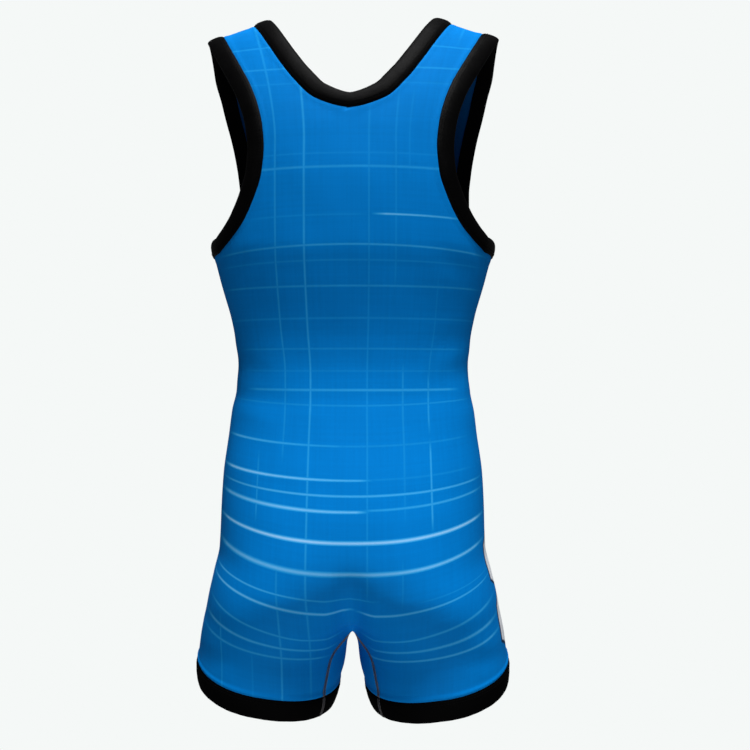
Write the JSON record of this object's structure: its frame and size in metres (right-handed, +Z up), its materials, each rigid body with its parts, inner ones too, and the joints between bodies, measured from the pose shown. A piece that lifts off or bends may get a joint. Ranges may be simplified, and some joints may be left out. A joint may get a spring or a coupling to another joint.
{
  "type": "wrestling singlet",
  "caption": "Sleeveless one-piece wrestling suit in stretch knit, filled out and hollow, with bound neck and armholes and legs that end in bands.",
  "frame": {"origin": "midway between the two shoulder straps, on the line where they lie over the wearer's shoulders", "axes": "+Z up the body, -Y the way the front faces, +X towards the wearer's left"},
  "size_m": [0.3672, 0.2373, 0.8035],
  "materials": {
    "blue_knit": "smooth stretch knit with a soft sheen and thin pale lines",
    "black_binding": "folded stretch binding, slight sheen",
    "black_band": "matte elastic leg band"
  },
  "bodies": {
    "root": {"back_panel": "blue_knit", "front_panel": "blue_knit", "neck_binding": "black_binding", "armhole_binding_left": "black_binding", "armhole_binding_right": "black_binding", "leg_band_left": "black_band", "leg_band_right": "black_band"}
  },
  "joints": []
}
